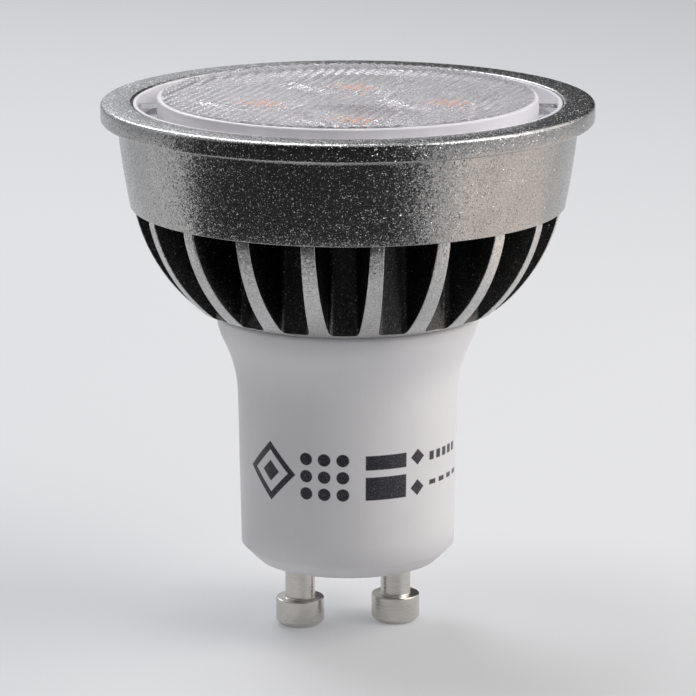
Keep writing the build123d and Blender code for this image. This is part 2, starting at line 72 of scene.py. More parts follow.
# %% A socket that takes part in sums
class Value:
    def __init__(self, nodes, socket):
        self.nodes = nodes
        self.socket = socket

    def output(self, name):
        """Another output of the node that this value comes from."""
        return Value(self.nodes, self.socket.node.outputs[name])

    def math(self, operation, *operands):
        return self.nodes.node("ShaderNodeMath", {"operation": operation}, dict(enumerate(operands)))

    def __add__(self, other):
        return self.math("ADD", self, other)

    def __radd__(self, other):
        return self.math("ADD", other, self)

    def __sub__(self, other):
        return self.math("SUBTRACT", self, other)

    def __rsub__(self, other):
        return self.math("SUBTRACT", other, self)

    def __mul__(self, other):
        return self.math("MULTIPLY", self, other)

    def __rmul__(self, other):
        return self.math("MULTIPLY", other, self)

    def __truediv__(self, other):
        return self.math("DIVIDE", self, other)

    def __rtruediv__(self, other):
        return self.math("DIVIDE", other, self)

    def __abs__(self):
        return self.math("ABSOLUTE", self)

    def smaller(self, other):
        return self.math("MINIMUM", self, other)

    def larger(self, other):
        return self.math("MAXIMUM", self, other)

    def step(self, start, end):
        """0 below start and 1 above end, with a smooth rise between them."""
        settings = {"interpolation_type": "SMOOTHSTEP"}
        return self.nodes.node("ShaderNodeMapRange", settings, {0: self, 1: start, 2: end})


# %% One method for every other node
class Nodes:
    def __init__(self, tree):
        self.tree = tree

    def node(self, kind, settings=None, values=None, output=0):
        """A new node: its settings first, then the values or links of its sockets."""
        made = self.tree.nodes.new(kind)
        for name, setting in (settings or {}).items():
            setattr(made, name, setting)
        for name, value in (values or {}).items():
            self.feed(made.inputs[name], value)
        return Value(self, made.outputs[output]) if made.outputs else made

    def feed(self, socket, value):
        if isinstance(value, Value):
            self.tree.links.new(value.socket, socket)
        else:
            socket.default_value = value


# %% [markdown]
# ## Finishes
# Every finish is a Principled shader on Object coordinates, so a pattern keeps its real size in
# millimetres. Only the sockets that really change over the surface get a link. The rest are numbers.

# %% A finish and its coordinates
class Finish(Nodes):
    def __init__(self, name):
        self.material = bpy.data.materials.new(name)
        self.material.use_nodes = True
        self.material.node_tree.nodes.clear()
        super().__init__(self.material.node_tree)
        self.place = self.node("ShaderNodeTexCoord").output("Object")

    def noise(self, size, detail=2.0):
        """Cloudy noise from 0 to 1 whose blotches are about size mm wide."""
        values = {"Vector": self.place, "Scale": 1 / (size * mm), "Detail": detail}
        return self.node("ShaderNodeTexNoise", None, values)

    def cells(self, size):
        """A random colour for each grain about size mm wide."""
        values = {"Vector": self.place, "Scale": 1 / (size * mm)}
        return self.node("ShaderNodeTexVoronoi", None, values).output("Color")

    def vector(self, operation, *operands):
        return self.node("ShaderNodeVectorMath", {"operation": operation}, dict(enumerate(operands)))

    def mix(self, factor, first, second):
        settings = {"data_type": "RGBA"}
        values = {"Factor": factor, 6: first, 7: second}
        return self.node("ShaderNodeMix", settings, values, output=2)

    def bump(self, height, depth, strength=1.0, base=None):
        """Normals of a surface whose relief is height, from 0 to 1, times depth in mm."""
        values = {"Strength": strength, "Distance": depth * mm, "Height": height}
        if base:
            values["Normal"] = base
        return self.node("ShaderNodeBump", None, values)

    def done(self, **values):
        """The Principled shader on these values, named with _ for a space, and the output."""
        named = {name.replace("_", " "): value for name, value in values.items()}
        shader = self.node("ShaderNodeBsdfPrincipled", None, named)
        self.node("ShaderNodeOutputMaterial", None, {"Surface": shader})
        return self.material


# %% [markdown]
# ### Blasted aluminium
# The casting was blasted with fine beads. Each grain leans its own way, so some flash and most stay
# dark. A noise texture alone would give soft clouds. A random lean for every small grain, added to the
# normal, gives that sparkle in any light. Only here and there is a grain steep enough to flash.

# %% Blasted aluminium
grain_size = 0.12
grain_lean = 0.15
steep_lean = 1.3
steep_patch = 0.15
relief_size = 0.35
relief_depth = 0.02


def aluminium(name, shade, roughness, lean):
    finish = Finish(name)
    cells = finish.cells(grain_size)
    grey = finish.node("ShaderNodeSeparateColor", None, {"Color": cells})
    normal = finish.node("ShaderNodeNewGeometry").output("Normal")
    middle = finish.vector("SUBTRACT", cells, (0.5, 0.5, 0.5))
    chance = finish.noise(steep_patch, detail=1).step(0.55, 0.72)
    values = {0: middle, "Scale": chance * steep_lean + lean}
    lean_here = finish.node("ShaderNodeVectorMath", {"operation": "SCALE"}, values)
    leaning = finish.vector("ADD", normal, lean_here)
    light = grey.output("Green") * 0.5 + finish.noise(5, detail=3) * 0.5
    dark_tone = [0.6 * shade, 0.597 * shade, 0.6 * shade, 1]
    pale_tone = [1.4 * shade, 1.39 * shade, 1.37 * shade, 1]
    relief = finish.noise(relief_size, detail=3)
    return finish.done(
        Base_Color=finish.mix(light, dark_tone, pale_tone),
        Metallic=1.0,
        Roughness=grey.output("Blue") * 0.12 + roughness,
        Normal=finish.bump(relief, relief_depth, base=finish.vector("NORMALIZE", leaning)),
    )


blasted = aluminium("blasted_aluminium", 0.38, 0.17, grain_lean)
# A lighter copy, painted light on the fins' outer faces and the bowl.
painted_light_faces = aluminium("bright_aluminium", 0.55, 0.3, grain_lean)
# A darker copy, painted shade in the pockets.
pocket_painted_shade = aluminium("pocket_aluminium", 0.1, 0.26, grain_lean / 3)
print("made", blasted.name, painted_light_faces.name, pocket_painted_shade.name)

# %% [markdown]
# ### Clear plastic of the lens
# The lens is moulded in acrylic. It is clear, with a faint milky violet cast in its thickness. Pure
# glass would show the dark bowl through it and lose that milk, so each finish mixes clear and white
# plastic by one number, its clearness. The ring is frosted. The hollow over each LED is painted
# orange: a painted image of the LED's dome, which the eye sees there, enlarged by the cell.

# %% Clear plastic
acrylic_ior = 1.49
ripple_size = 1.6
ripple_depth = 0.01


def clear_plastic(name, colour, roughness, clearness):
    finish = Finish(name)
    ripples = finish.noise(ripple_size, detail=2)
    return finish.done(
        Base_Color=colour,
        Roughness=finish.noise(0.7) * 0.04 + roughness,
        IOR=acrylic_ior,
        Transmission_Weight=clearness,
        Normal=finish.bump(ripples, ripple_depth),
    )


acrylic = clear_plastic("clear_acrylic", [0.93, 0.925, 0.955, 1], 0.02, 0.85)
frosted = clear_plastic("frosted_acrylic", [0.9, 0.89, 0.925, 1], 0.35, 0.3)
# The orange is a painted image of the LED seen through the hollow.
led_hollow = clear_plastic("led_hollow", [1.0, 0.36, 0.1, 1], 0.3, 0.1)
print("made", acrylic.name, frosted.name, led_hollow.name)

# %% [markdown]
# ### Quilted plastic
# The face of the lens is a grid of cushions, and light that enters near their seams is bent away, so
# the seams read as thin dark marks. Real bent light needs many samples to look clean. Painted shade on
# the seams of the same grid, from the place of each point in the piece, helps it at no cost.

# %% Quilted plastic
quilt_pitch = 1.0
quilt_turn = 63.4
seam_start = 0.32
cross_seam = 0.45


def quilted_plastic():
    """Milky plastic with painted shade along the seams between the cushions.
    The seams are also a little frosted.
    """
    finish = Finish("quilted_acrylic")
    values = {"Vector": finish.place, "Rotation": (0, 0, radians(-quilt_turn)), "Scale": [1 / mm] * 3}
    on_grid = finish.node("ShaderNodeMapping", None, values)
    spot = finish.node("ShaderNodeSeparateXYZ", None, {"Vector": on_grid})
    shaded_seams = 0.0
    for along, weight in ((spot.output("Y"), 1.0), (spot, cross_seam)):
        share = along / quilt_pitch
        away = abs(share.math("FRACT", share + 100) - 0.5)
        shaded_seams = away.step(seam_start, 0.5) * weight + shaded_seams
    shaded_seams = shaded_seams.smaller(1.0) * (finish.noise(2.5, detail=3) * 0.9 + 0.4)
    return finish.done(
        # The darker colour of the seams is painted shade. Their roughness makes them a little frosted.
        Base_Color=finish.mix(shaded_seams, [0.97, 0.96, 0.99, 1], [0.56, 0.55, 0.61, 1]),
        Roughness=shaded_seams * 0.3 + 0.04,
        IOR=acrylic_ior,
        Transmission_Weight=0.7,
        Normal=finish.bump(finish.noise(ripple_size, detail=2), ripple_depth),
    )


quilted = quilted_plastic()
print("made", quilted.name)

# %% [markdown]
# ### White plastic of the neck, with its print
# The neck is moulded in white plastic with a fine satin grain, and black shapes are printed on it:
# diamonds, dots, blocks and dashes. A picture laid on the neck would blur close up, and thin meshes
# would stand off it. Sums on the angle round the neck and the height keep every edge crisp instead.

# %% Masks for flat shapes
class Print:
    """Flat shapes on the neck, at u mm round it from the front and v mm above the print's level."""

    def __init__(self, finish, radius, front_angle, level, edge=0.05):
        spot = finish.node("ShaderNodeSeparateXYZ", None, {"Vector": finish.place})
        x, y, z = spot, spot.output("Y"), spot.output("Z")
        front = radians(front_angle)
        ahead = x * cos(front) + y * sin(front)
        across = y * cos(front) - x * sin(front)
        self.u = across.math("ARCTAN2", across, ahead) * radius
        self.v = z / mm - level
        self.edge = edge

    def inside(self, distance):
        """1 where a distance is below 0, with a slightly soft edge."""
        return 1 - distance.step(-self.edge, self.edge)

    def box(self, u, v, width, height):
        return self.inside((abs(self.u - u) - width / 2).larger(abs(self.v - v) - height / 2))

    def diamond(self, u, v, size):
        return self.inside(abs(self.u - u) + abs(self.v - v) - size / 2)

    def dot(self, u, v, size):
        across, up = self.u - u, self.v - v
        squared = across * across + up * up
        return self.inside(squared.math("SQRT", squared) - size / 2)


# %% White plastic with print
neck_print_radius = 11.15
print_level = 11.0
camera_side = -97.6
sign_at = -8.6
sign_sizes = (6.2, 4.4, 2.2)
dots_at = -4.3
dot_pitch = 1.9
dot_rows = (1.8, 0, -1.8)
dot_size = 1.3
block_at = 4.0
block_width = 4.4
marks_at = 7.6
mark_size = 1.7
bars_at = 9.6
dashes_at = 9.8


def printed_shapes(ink):
    """Every shape of the print, from left to right."""
    outer, inner, heart = [ink.diamond(sign_at, 0, size) for size in sign_sizes]
    shapes = [abs(outer - inner), heart]
    for column in range(3):
        shapes += [ink.dot(dots_at + dot_pitch * column, row, dot_size) for row in dot_rows]
    shapes += [ink.box(block_at, 1.5, block_width, 1.5), ink.box(block_at, -1.2, block_width, 2.4)]
    shapes += [ink.diamond(marks_at, row, mark_size) for row in (1.6, -1.6)]
    shapes += [ink.box(bars_at + 1.1 * index, 1.4, 0.7, 0.9) for index in range(5)]
    shapes += [ink.box(dashes_at + 1.6 * index, -1.4, 1.0, 0.5) for index in range(4)]
    return shapes


def printed_plastic():
    finish = Finish("printed_white_plastic")
    shapes = printed_shapes(Print(finish, neck_print_radius, camera_side, print_level))
    mask = shapes[0]
    for shape in shapes[1:]:
        mask = mask.larger(shape)
    speckle = finish.noise(0.12, detail=1).step(0.3, 0.45)
    mask = mask * (speckle * 0.12 + 0.88)
    haze = finish.noise(9, detail=3)
    paper = finish.mix(haze, [0.66, 0.655, 0.67, 1], [0.75, 0.745, 0.755, 1])
    grain = finish.noise(0.28, detail=3) * 0.7 + finish.noise(3.5) * 0.6
    return finish.done(
        Base_Color=finish.mix(mask, paper, [0.012, 0.011, 0.02, 1]),
        Roughness=0.36 + finish.noise(0.6) * 0.12 - mask * 0.08,
        IOR=1.5,
        Normal=finish.bump(grain, 0.02, 0.7),
    )


white_plastic = printed_plastic()
print("made", white_plastic.name, "with", len(white_plastic.node_tree.nodes), "shader nodes")

# %% [markdown]
# ### The other finishes
# Turned nickel pins, the white board and the LEDs under the lens, and the plain materials of the
# driver inside the neck. Each could be one flat colour, but a real surface is never quite even. One
# function makes them all from a colour, a roughness and a grain. A dictionary then says which pieces
# of the CAD model get which finish, by the start of their names.

# %% Plain finishes
def plain(name, colour, roughness, metallic=0.0, grain=0.4, depth=0.01, **more):
    finish = Finish(name)
    tone = finish.noise(grain * 8, detail=3)
    darker = [part * 0.86 for part in colour]
    return finish.done(
        Base_Color=finish.mix(tone, [*darker, 1], [*colour, 1]),
        Roughness=finish.noise(grain * 3) * 0.14 + (roughness - 0.07),
        Metallic=metallic,
        Normal=finish.bump(finish.noise(grain), depth),
        **more,
    )


mark_stretch = (60, 60, 5000)


def nickel():
    """Turned marks run round the pins, so the noise is squeezed along their length."""
    finish = Finish("turned_nickel")
    squeezed = finish.node("ShaderNodeMapping", None, {"Vector": finish.place, "Scale": mark_stretch})
    marks = finish.node("ShaderNodeTexNoise", None, {"Vector": squeezed, "Scale": 1.0, "Detail": 2.0})
    tone = finish.mix(finish.noise(2), [0.56, 0.54, 0.5, 1], [0.68, 0.66, 0.62, 1])
    roughness = marks * 0.12 + 0.2
    relief = finish.bump(marks, 0.008)
    return finish.done(Base_Color=tone, Metallic=1.0, Roughness=roughness, Normal=relief)


# %% Which piece gets which finish
steel = plain("screw_steel", (0.56, 0.56, 0.57), 0.3, metallic=1.0)
sleeve = plain("capacitor_sleeve", (0.02, 0.025, 0.03), 0.35)
ferrite = plain("ferrite", (0.06, 0.06, 0.062), 0.5)
epoxy = plain("black_epoxy", (0.02, 0.02, 0.021), 0.5)
finishes = {
    "led_board": plain("white_board", (0.78, 0.79, 0.78), 0.45),
    "thermal_pad": plain("thermal_grey", (0.3, 0.32, 0.34), 0.7),
    "board_screws": steel,
    "neck_screws": steel,
    "driver_cover": plain("cover_grey", (0.35, 0.36, 0.37), 0.5),
    "input_lead": plain("lead_white", (0.7, 0.7, 0.68), 0.45),
    "output_lead_red": plain("lead_red", (0.5, 0.03, 0.02), 0.4),
    "output_lead_black": plain("lead_black", (0.02, 0.02, 0.022), 0.4),
    "driver_board": plain("board_green", (0.03, 0.16, 0.06), 0.35),
    "bulk_capacitor": sleeve,
    "output_capacitor": sleeve,
    "film_capacitor": plain("film_yellow", (0.62, 0.44, 0.06), 0.35),
    "fusible_resistor": plain("resistor_blue", (0.1, 0.3, 0.5), 0.4),
    "input_choke": ferrite,
    "transformer_core": ferrite,
    "transformer_bobbin": plain("bobbin_black", (0.025, 0.025, 0.027), 0.4),
    "transformer_winding": plain("copper_wire", (0.62, 0.25, 0.1), 0.3, metallic=1.0),
    "bridge_rectifier": epoxy,
    "driver_chip": epoxy,
    "output_diode": epoxy,
    "led_body": plain("led_ceramic", (0.8, 0.79, 0.76), 0.4),
    "led_emitter": plain("phosphor_dome", (0.95, 0.36, 0.1), 0.3),
    "contact_pin": nickel(),
}


def paint(piece, *materials):
    """Gives a piece these materials, in place of those that it has."""
    piece.data.materials.clear()
    for material in materials:
        piece.data.materials.append(material)


for node_name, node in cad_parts.items():
    chosen = next((made for start, made in finishes.items() if node_name.startswith(start)), None)
    if chosen:
        paint(node, chosen)
print("finishes on", sum(bool(node.data.materials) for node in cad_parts.values()), "nodes")

# %% [markdown]
# ## Turned pieces
# The casting, the lens and the pins are bodies of revolution. A turned piece is an outline of radius
# and height in millimetres, swept round the Z axis. Corners get small fillets, because no real edge is
# perfectly sharp and the light along a rounded edge is what makes a render look real. A Bevel modifier
# could round them too, but on an outline each corner can have its own radius.

# %% Outlines
def bulged(start, end, bulge, steps):
    """Points from start to end on an arc whose middle stands out by bulge to the right of its way."""
    start, end = Vector(start), Vector(end)
    chord = end - start
    across = Vector((chord.y, -chord.x)).normalized()
    radius = (chord.length ** 2 / 4 + bulge ** 2) / (2 * bulge)
    centre = (start + end) / 2 + across * (bulge - radius)
    first = start - centre
    turn = first.angle_signed(end - centre)
    points = []
    for index in range(steps + 1):
        spun = first.copy()
        spun.rotate(Matrix.Rotation(-turn * index / steps, 2))
        points.append(tuple(centre + spun))
    return points


def filleted(corners, steps=4):
    """The closed outline of (radius, height, fillet) corners, with each fillet as an arc."""
    points = []
    for index, (*corner, fillet) in enumerate(corners):
        corner = Vector(corner)
        if not fillet:
            points.append(tuple(corner))
            continue
        before = (Vector(corners[index - 1][:2]) - corner).normalized()
        after = (Vector(corners[(index + 1) % len(corners)][:2]) - corner).normalized()
        half = before.angle(after) / 2
        centre = corner + (before + after).normalized() * fillet / sin(half)
        start = corner + before * fillet / tan(half) - centre
        end = corner + after * fillet / tan(half) - centre
        points += [tuple(centre + start.slerp(end, step / steps) * fillet) for step in range(steps + 1)]
    return points


# %% The lathe
weld_gap = 0.002
fine_gap = 0.001


def mesh_object(name, build, gap=weld_gap, closed=True):
    """A new object whose mesh is drawn by build and merged. A closed one has its faces turned outwards."""
    mesh = bmesh.new()
    build(mesh)
    bmesh.ops.remove_doubles(mesh, verts=mesh.verts, dist=gap * mm)
    if closed:
        bmesh.ops.recalc_face_normals(mesh, faces=mesh.faces)
    data = bpy.data.meshes.new(name)
    mesh.to_mesh(data)
    mesh.free()
    made = bpy.data.objects.new(name, data)
    bpy.context.collection.objects.link(made)
    return made


def turned(name, outline, steps, x=0.0, y=0.0):
    """A closed outline of (radius, height) in mm, turned about the upright line through (x, y)."""
    def build(mesh):
        rings = []
        for index in range(steps):
            angle = 2 * pi * index / steps
            ring = [((x + r * cos(angle)) * mm, (y + r * sin(angle)) * mm, z * mm) for r, z in outline]
            rings.append([mesh.verts.new(point) for point in ring])
        for index, ring in enumerate(rings):
            after = rings[(index + 1) % steps]
            for row in range(len(outline)):
                below = row - 1
                if outline[row][0] or outline[below][0]:
                    mesh.faces.new((ring[below], after[below], after[row], ring[row]))
    return mesh_object(name, build)


def smooth(piece, sharp_angle):
    """Smooth shading, with the edges that turn more than sharp_angle kept crisp."""
    piece.data.shade_smooth()
    piece.data.set_sharp_from_angle(angle=radians(sharp_angle))


def combine(piece, tool, operation):
    """Adds tool to the piece, or cuts it away, and removes it."""
    modifier = piece.modifiers.new("combine", "BOOLEAN")
    modifier.operation = operation
    modifier.solver = "MANIFOLD"
    modifier.object = tool
    piece.data = evaluated(piece)
    piece.modifiers.clear()
    bpy.data.objects.remove(tool)


def without_slivers(piece):
    """Takes out the faces with no area that a cut can leave."""
    mesh = bmesh.new()
    mesh.from_mesh(piece.data)
    bmesh.ops.dissolve_degenerate(mesh, edges=mesh.edges, dist=fine_gap * mm)
    mesh.to_mesh(piece.data)
    mesh.free()


def evaluated(piece):
    """The mesh of a piece with its modifiers worked out."""
    return bpy.data.meshes.new_from_object(piece.evaluated_get(bpy.context.evaluated_depsgraph_get()))


# %% [markdown]
# ## The casting
# One aluminium casting carries everything: a rim, a band that tapers, and twenty fins under the band
# that narrow from the core to their outer faces. Twenty pockets could be cut out of a turned body, but
# a drawn sector keeps its faces even. So a fin is one sector of a ring, which Geometry Nodes repeat
# round the axis. The rim and band are turned, and the two are joined into one closed body.

# %% Sizes of the casting
rim_thickness = 1.95
rim_back = front_height - rim_thickness
rim_edge = 0.35
mouth_radius = 21.8
mouth_edge = 0.25
band_height = 8.65
band_foot = rim_back - band_height
band_top_radius = 23.3
band_foot_radius = 22.1
band_bulge = 0.1
band_root = 0.5
band_foot_edge = 0.12
ledge_radius = 19.8
ledge_height = front_height - 3.0
bowl_radius = 18.4
bowl_floor = band_foot + 2.0
floor_underside = bowl_floor - 3.0
chamber_radius = 12.7
chamber_step = 0.2
lead_hole = 2.75
casting_steps = 360


def casting_top():
    """The rim, the band and the bowl, down to the tops of the pockets between the fins."""
    band = bulged((band_foot_radius, band_foot), (band_top_radius, rim_back - band_root), band_bulge, 6)
    corners = [(lead_hole, floor_underside, 0), (chamber_radius + chamber_step, floor_underside, 0)]
    corners += [(chamber_radius + chamber_step, band_foot, 0)]
    corners += [(band_foot_radius, band_foot, band_foot_edge)]
    corners += [(*point, 0) for point in band[1:-1]]
    corners += [(band_top_radius, rim_back, band_root), (rim_radius, rim_back, rim_edge)]
    corners += [(rim_radius, front_height, rim_edge), (mouth_radius, front_height, mouth_edge)]
    corners += [(mouth_radius, ledge_height, 0), (ledge_radius, ledge_height, 0)]
    corners += [(bowl_radius, bowl_floor, 0), (lead_hole, bowl_floor, 0)]
    return turned("casting_top", filleted(corners, 5), casting_steps)


top = casting_top()
print("casting top:", len(top.data.polygons), "faces")

# %% [markdown]
# ### One fin
# A fin's outline in plan is its outer face, a rounded corner, its tapering side, a fillet at its root
# and half of the flat floor of the pocket. At each height the outer face lies on the fins' curved
# envelope. Where the envelope runs into the core, the outline shrinks until no pocket is left.

# %% Sizes of a fin
fin_count = 20
fin_top_radius = 21.65
fin_tip = 1.4
fin_root = 2.0
fin_straight = 0.5
fin_beyond = 24.0
fin_foot = 26.7
fin_foot_radius = 15.55
fin_bulge = 0.95
fin_corner = 0.1
core_radius = 15.3
pocket_corner = 0.6
lip_radius = 13.4
flare_low = 0.16
flare_high = 0.12
joint_overlap = 0.05
half_pitch = pi / fin_count


def fin_side():
    """One side of a fin in plan, from beyond the band, along the fin and over half of the pocket's floor."""
    slope = (fin_tip - fin_root) / 2 / (fin_top_radius - core_radius)
    outer = (fin_beyond, fin_root / 2 + (fin_beyond - core_radius) * slope, 0)
    root = (core_radius, fin_root / 2, pocket_corner)
    pocket_floor = core_radius * cos(half_pitch) + fin_root / 2 * sin(half_pitch)
    middle = (pocket_floor * cos(half_pitch), pocket_floor * sin(half_pitch), 0)
    rounded = filleted([outer, root, middle], 8)
    return [Vector(point) for point in rounded]


def walk(points, distances):
    """Points at the given distances along a line of points."""
    found = []
    for distance in distances:
        left = distance
        for start, end in zip(points, points[1:]):
            length = (end - start).length
            if left <= length or end is points[-1]:
                found.append(start.lerp(end, min(left / length, 1.0)))
                break
            left -= length
    return found


# %% The section of a fin at one height
face_columns = 4
corner_columns = 4
side_columns = 4
fillet_columns = 9
floor_columns = 3
columns = face_columns + corner_columns + side_columns + fillet_columns + floor_columns


def circle_points(radius, start, end, count):
    """count points on a circle, from one angle up to just before the other."""
    angles = [start + (end - start) * index / count for index in range(count)]
    return [Vector((radius * cos(angle), radius * sin(angle))) for angle in angles]


def arc_to_pocket(radius):
    """A whole arc from the middle of a fin to the middle of a pocket, both ends included."""
    arc = circle_points(radius, 0, half_pitch, columns)
    return arc + [Vector((cos(half_pitch), sin(half_pitch))) * radius]


def crossing(side, radius, total):
    """How far along a fin's side the circle of this radius cuts it, found by halving."""
    low, high = 0.0, total
    for _ in range(40):
        middle = (low + high) / 2
        if walk(side, [middle])[0].length > radius:
            low = middle
        else:
            high = middle
    return high


def section(radius, side):
    """Half of a fin and half of a pocket in plan, where the envelope has this radius."""
    lengths = [0.0]
    for start, end in zip(side, side[1:]):
        lengths.append(lengths[-1] + (end - start).length)
    total = lengths[-1]
    if side[-1].length >= radius:
        return arc_to_pocket(radius)
    high = crossing(side, radius, total)
    rounding = min(fin_corner, (total - high) / 3)
    cut = walk(side, [high])[0]
    face_end = atan2(cut.y, cut.x) - rounding / radius
    face = circle_points(radius, 0, face_end, face_columns)
    start = Vector((cos(face_end), sin(face_end))) * radius
    end = walk(side, [high + rounding])[0]
    corner = []
    for index in range(corner_columns):
        share = index / corner_columns
        corner.append(start.lerp(cut, share).lerp(cut.lerp(end, share), share))
    first = high + rounding
    fillet_start, fillet_end = max(lengths[1], first), max(lengths[-2], first)
    runs = [(first, fillet_start, side_columns), (fillet_start, fillet_end, fillet_columns)]
    runs.append((fillet_end, total, floor_columns))
    distances = [a + (b - a) * index / count for a, b, count in runs for index in range(count)]
    return face + corner + walk(side, distances + [total])


# %% A sector of the fins
def envelope():
    """(radius, height) of the fins' outer face, from the lip up into the band."""
    curve = bulged((fin_foot_radius, fin_foot), (fin_top_radius, band_foot - fin_straight), fin_bulge, 22)
    flare = (core_radius * cos(half_pitch) + flare_low, core_radius + flare_high)
    slope = (fin_foot - lip_foot) / (fin_foot_radius - lip_radius)
    rows = [(lip_radius, lip_foot)]
    rows += [(radius, lip_foot + (radius - lip_radius) * slope) for radius in flare]
    return rows + curve + [(fin_top_radius, band_foot + joint_overlap)]


def fin_sector(mesh):
    """The outer wall, the bore and both ends of a sector. Its two sides stay open, to be merged."""
    rows = envelope()
    side = fin_side()
    for way in (1, -1):
        outer = []
        inner = []
        for radius, height in rows:
            points = section(radius, side)
            outer.append([mesh.verts.new((p.x * mm, way * p.y * mm, height * mm)) for p in points])
            bore = arc_to_pocket(chamber_radius)
            inner.append([mesh.verts.new((p.x * mm, way * p.y * mm, height * mm)) for p in bore])
        for low in range(len(rows) - 1):
            for left in range(columns):
                for wall, turn in ((outer, 1), (inner, -1)):
                    below, above = wall[low], wall[low + 1]
                    quad = [below[left], below[left + 1], above[left + 1], above[left]]
                    mesh.faces.new(quad[::turn * way])
        for row, turn in ((0, -1), (len(rows) - 1, 1)):
            for left in range(columns):
                quad = [inner[row][left], outer[row][left], outer[row][left + 1], inner[row][left + 1]]
                mesh.faces.new(quad[::turn * way])


sector = mesh_object("fin_sector", fin_sector, closed=False)
print("one fin:", len(sector.data.polygons), "faces")

# %% [markdown]
# ### Twenty fins
# The tree puts one instance of the sector on each of a row of points that all lie on the axis, and
# turns each by its index. Realizing the instances and merging the seams gives one closed ring.

# %% A Geometry Nodes tree with named inputs
class Grower(Nodes):
    """A Geometry Nodes tree. Its inputs have names, and a modifier sets them by identifier."""

    def __init__(self, name):
        super().__init__(bpy.data.node_groups.new(name, "GeometryNodeTree"))
        self.tree.interface.new_socket("Geometry", in_out="OUTPUT", socket_type="NodeSocketGeometry")
        self.settings = {}

    def asks(self, name, kind, value):
        socket = self.tree.interface.new_socket(name, in_out="INPUT", socket_type="NodeSocket" + kind)
        self.settings[socket.identifier] = value
        return name

    def asked(self, name):
        return self.node("NodeGroupInput").output(name)

    def mesh_for(self, name, geometry, material):
        """Ends the tree, runs it on a new object and keeps the result as a plain mesh."""
        realized = self.node("GeometryNodeRealizeInstances", None, {"Geometry": geometry})
        values = {"Geometry": realized, "Distance": weld_gap * mm}
        welded = self.node("GeometryNodeMergeByDistance", None, values)
        painted = self.node("GeometryNodeSetMaterial", None, {"Geometry": welded, "Material": material})
        self.node("NodeGroupOutput", None, {"Geometry": painted})
        piece = bpy.data.objects.new(name, bpy.data.meshes.new(name))
        bpy.context.collection.objects.link(piece)
        modifier = piece.modifiers.new(name, "NODES")
        modifier.node_group = self.tree
        for identifier, value in self.settings.items():
            modifier[identifier] = value
        piece.data = evaluated(piece)
        piece.modifiers.clear()
        return piece


# %% Grow the fins
def grow_fins():
    grower = Grower("fins")
    count = grower.asks("Fins", "Int", fin_count)
    shape = grower.asks("Fin", "Object", sector)
    points = grower.node("GeometryNodePoints", None, {"Count": grower.asked(count)})
    values = {"Object": grower.asked(shape), "As Instance": True}
    one = grower.node("GeometryNodeObjectInfo", None, values)
    turn = grower.node("GeometryNodeInputIndex") * (2 * pi) / grower.asked(count)
    rotation = grower.node("ShaderNodeCombineXYZ", None, {"Z": turn})
    values = {"Points": points, "Instance": one.output("Geometry"), "Rotation": rotation}
    ring = grower.node("GeometryNodeInstanceOnPoints", None, values)
    return grower.mesh_for("casting", ring, blasted)


casting = grow_fins()
bpy.data.objects.remove(sector)
print("fins:", len(casting.data.polygons), "faces")

# %% Join the casting and cut its screw holes
neck_screw_circle = 9.6
neck_screw_head = 2.05
neck_screw_hole = 1.15
neck_screw_seat = bowl_floor - 1.35
board_screw_circle = 12.5
board_screw_hole = 1.29
board_screw_depth = 1.9
light_turn = -7.5
past = 1.0


def on_circle(radius, angles):
    return [(radius * cos(radians(angle)), radius * sin(radians(angle))) for angle in angles]


def rod(radius, low, high, x=0.0, y=0.0, steps=32):
    return turned("rod", [(0, low), (radius, low), (radius, high), (0, high)], steps, x, y)


combine(casting, top, "UNION")
for x, y in on_circle(neck_screw_circle, (0, 180)):
    combine(casting, rod(neck_screw_hole, floor_underside - past, bowl_floor + past, x, y), "DIFFERENCE")
    combine(casting, rod(neck_screw_head, neck_screw_seat, bowl_floor + past, x, y), "DIFFERENCE")
board_screw_foot = bowl_floor - board_screw_depth
for x, y in on_circle(board_screw_circle, (45 + light_turn, 225 + light_turn)):
    combine(casting, rod(board_screw_hole, board_screw_foot, bowl_floor + past, x, y), "DIFFERENCE")
print("casting:", len(casting.data.polygons), "faces")

# %% [markdown]
# ### Painted shade in the pockets, painted light on the fins' faces
# The pockets between the fins get a darker, smoother copy of the aluminium as painted shade, and
# the fins' outer faces and the bowl a lighter copy as painted light. One texture could fade between
# them, but the change is sharp. So each face picks one of three finishes by where its middle lies.

# %% Paint shade into the pockets and light onto the fins' faces
hair = 0.01
pocket_depth = 0.12
wall_margin = 0.1
fin_envelope = envelope()


def envelope_radius(height):
    for (inner, low), (outer, high) in zip(fin_envelope, fin_envelope[1:]):
        if low <= height <= high:
            return inner + (outer - inner) * (height - low) / (high - low)
    return 0.0


def from_axis(point):
    return sqrt(point.x ** 2 + point.y ** 2)


def casting_finish(centre):
    """0 for blasted metal, 1 for painted light on the fins' outer faces and the bowl,
    2 for painted shade in the pockets.
    """
    away = from_axis(centre)
    in_ring = chamber_radius + wall_margin < away and lip_foot - hair < centre.z < band_foot + hair
    ceiling = abs(centre.z - band_foot) < hair and away < fin_top_radius
    if in_ring and (ceiling or away < envelope_radius(centre.z) - pocket_depth):
        return 2
    in_bowl = bowl_floor - hair < centre.z < ledge_height - hair and away < ledge_radius
    on_fin = in_ring and away < fin_top_radius + wall_margin
    return int(on_fin or in_bowl)


paint(casting, blasted, painted_light_faces, pocket_painted_shade)
for face in casting.data.polygons:
    face.material_index = casting_finish(face.center / mm)
print("pocket faces:", sum(face.material_index == 2 for face in casting.data.polygons))
smooth(casting, 32)
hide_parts("heat_sink")
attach(casting, "root")

# %% [markdown]
# ## The lens
# A lens for four LEDs: a thick disc with a gathering cell over each LED, and round the disc a groove
# and a ring that holds it in the casting. Its face is quilted with a grid of small cushions that
# spread the light, and that quilt is what the eye sees first. A bump could shade the cushions, but
# their row of humps shows at the edge of the disc, so they are real geometry.

